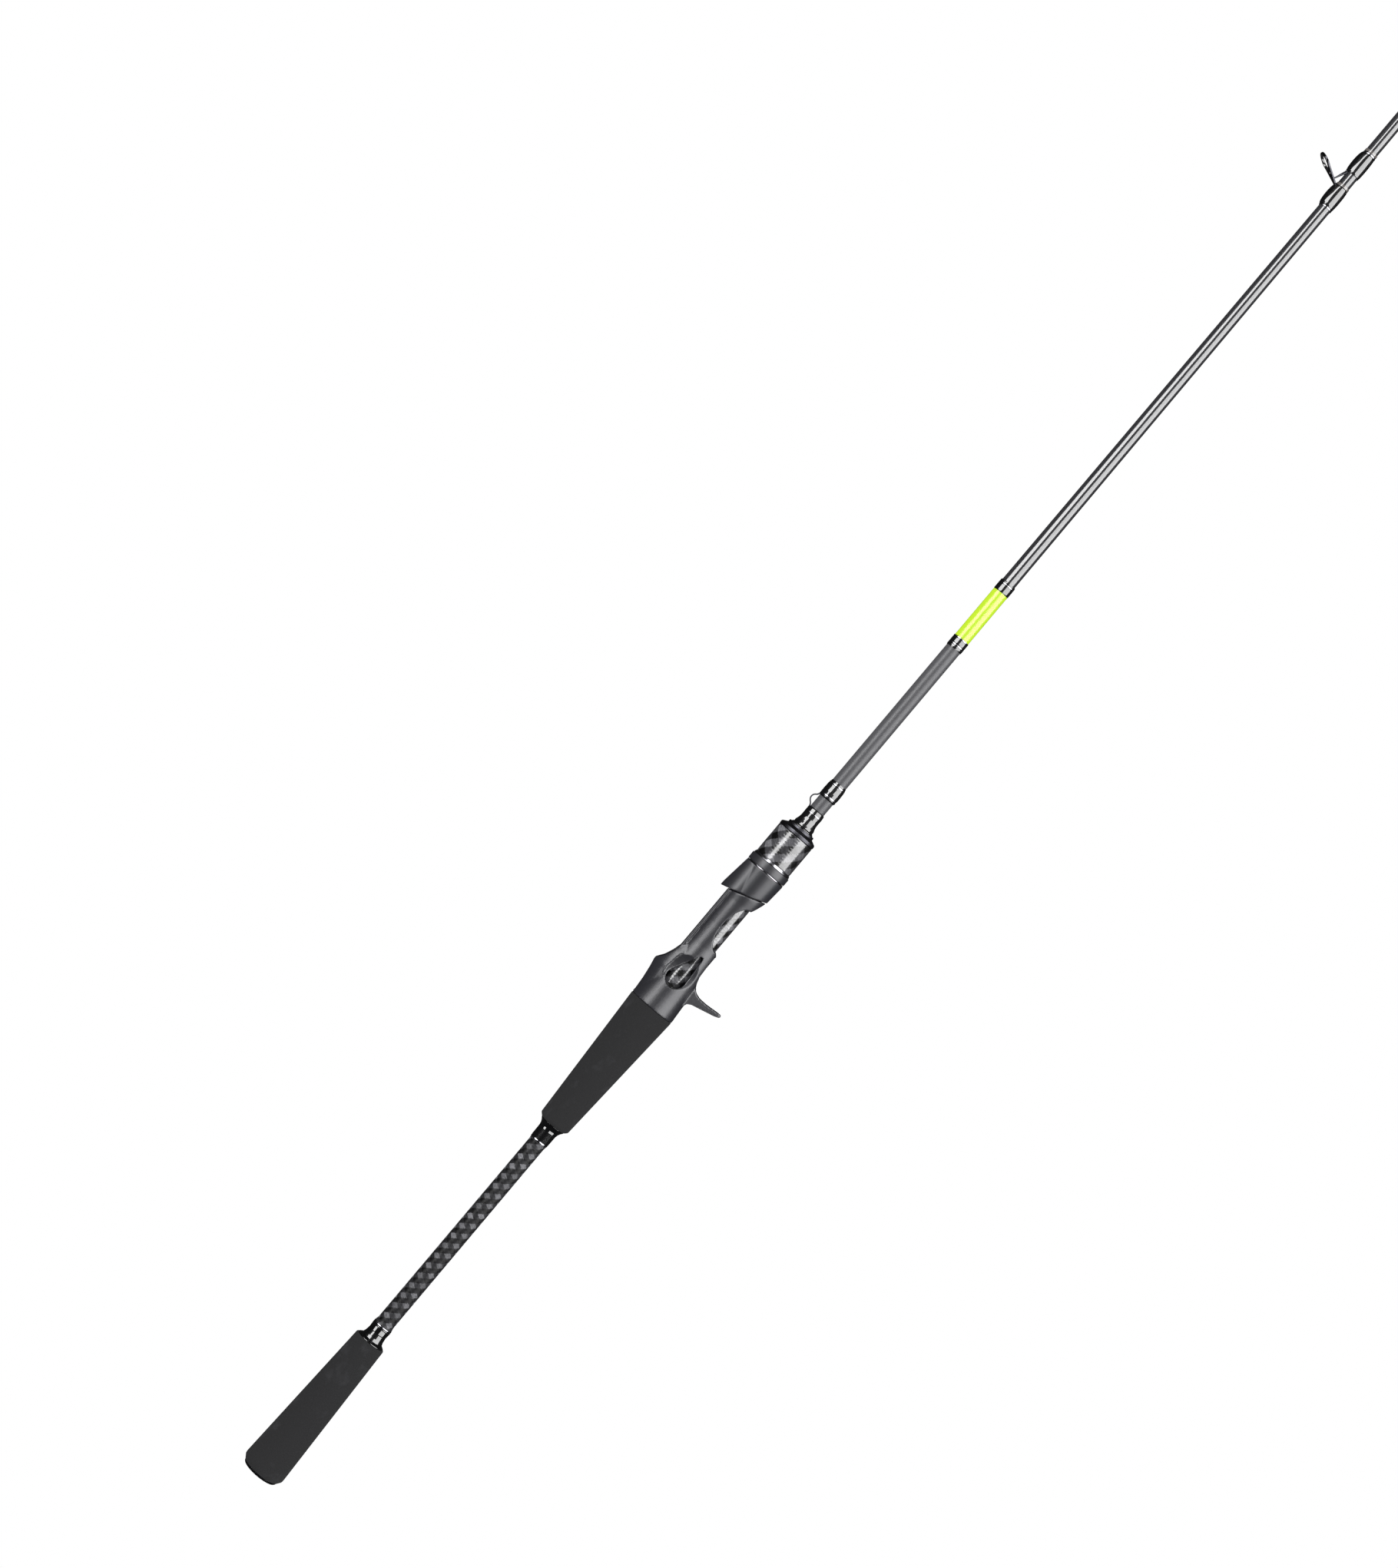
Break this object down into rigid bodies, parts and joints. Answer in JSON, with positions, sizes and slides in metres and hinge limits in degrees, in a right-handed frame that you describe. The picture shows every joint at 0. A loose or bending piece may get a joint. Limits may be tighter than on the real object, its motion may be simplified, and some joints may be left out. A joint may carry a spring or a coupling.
{
  "type": "casting fishing rod",
  "caption": "One-piece casting rod with a split foam handle, trigger reel seat, screw-down sliding hood, tapered carbon blank and line guides; no reel.",
  "frame": {"origin": "centre of the butt cap's flat end face", "axes": "+Z along the rod from butt to tip; -X towards the reel and the line guides; +X towards the trigger"},
  "size_m": [0.0531, 0.0274, 2.2909],
  "materials": {
    "clear_coated_carbon": "clear coat over unidirectional carbon, matte grey paint on the rear part",
    "gloss_black_trim": "gloss black anodised or lacquered trim",
    "eva_foam": "sanded closed-cell foam",
    "polished_ring": "polished",
    "patterned_carbon": "braided carbon pattern under clear coat",
    "seat_plastic": "satin graphite-filled moulding",
    "barrel_plastic": "satin moulded thread",
    "arbor_foam": "machined rigid foam",
    "spring_steel": "hardened",
    "epoxied_thread": "nylon thread under clear epoxy",
    "guide_steel": "polished dark chrome",
    "ring_ceramic": "polished ceramic",
    "band_paint": "yellow-green paint"
  },
  "bodies": {
    "rod": {"blank": "clear_coated_carbon", "butt_cap": "gloss_black_trim", "butt_grip": "eva_foam", "butt_check": "gloss_black_trim", "butt_check_ring": "polished_ring", "handle_sleeve": "patterned_carbon", "grip_check_ring": "polished_ring", "grip_check": "gloss_black_trim", "main_grip": "eva_foam", "seat_body": "seat_plastic", "seat_core": "patterned_carbon", "rear_arbor": "arbor_foam", "front_arbor": "arbor_foam", "thread_barrel": "barrel_plastic", "front_wrap": "epoxied_thread", "hook_keeper": "guide_steel", "keeper_wrap": "epoxied_thread", "band_wrap_rear": "epoxied_thread", "colour_band": "band_paint", "band_wrap_front": "epoxied_thread", "trim_rings": "polished_ring", "stripper_frame": "guide_steel", "stripper_ring": "ring_ceramic", "stripper_wrap_rear": "epoxied_thread", "stripper_wrap_front": "epoxied_thread", "tip_top": "guide_steel", "tip_ring": "ring_ceramic", "guide_frame_1": "guide_steel", "guide_ring_1": "ring_ceramic", "guide_wrap_1": "epoxied_thread", "guide_frame_2": "guide_steel", "guide_ring_2": "ring_ceramic", "guide_wrap_2": "epoxied_thread", "guide_frame_3": "guide_steel", "guide_ring_3": "ring_ceramic", "guide_wrap_3": "epoxied_thread", "guide_frame_4": "guide_steel", "guide_ring_4": "ring_ceramic", "guide_wrap_4": "epoxied_thread", "guide_frame_5": "guide_steel", "guide_ring_5": "ring_ceramic", "guide_wrap_5": "epoxied_thread", "guide_frame_6": "guide_steel", "guide_ring_6": "ring_ceramic", "guide_wrap_6": "epoxied_thread", "guide_frame_7": "guide_steel", "guide_ring_7": "ring_ceramic", "guide_wrap_7": "epoxied_thread", "guide_frame_8": "guide_steel", "guide_ring_8": "ring_ceramic", "guide_wrap_8": "epoxied_thread"},
    "hood": {"sliding_hood": "seat_plastic", "hood_ring": "polished_ring"},
    "nut": {"retaining_ring": "spring_steel", "nut_core": "barrel_plastic", "nut_collar": "seat_plastic", "nut_step_ring": "polished_ring", "nut_sleeve": "patterned_carbon", "nut_front_ring": "seat_plastic"}
  },
  "joints": [
    {"name": "hood_slide", "type": "slide", "parent": "rod", "child": "hood", "axis": [0, 0, 1], "range_m": [0, 0.01]},
    {"name": "nut_turn", "type": "hinge", "parent": "hood", "child": "nut", "pos_m": [0, 0, 0.42455], "axis": [0, 0, 1], "range_deg": [0, 1800]}
  ],
  "couplings": [
    {"joint": "hood_slide", "follows": "nut_turn", "m_per_rad": 0.00031831}
  ]
}
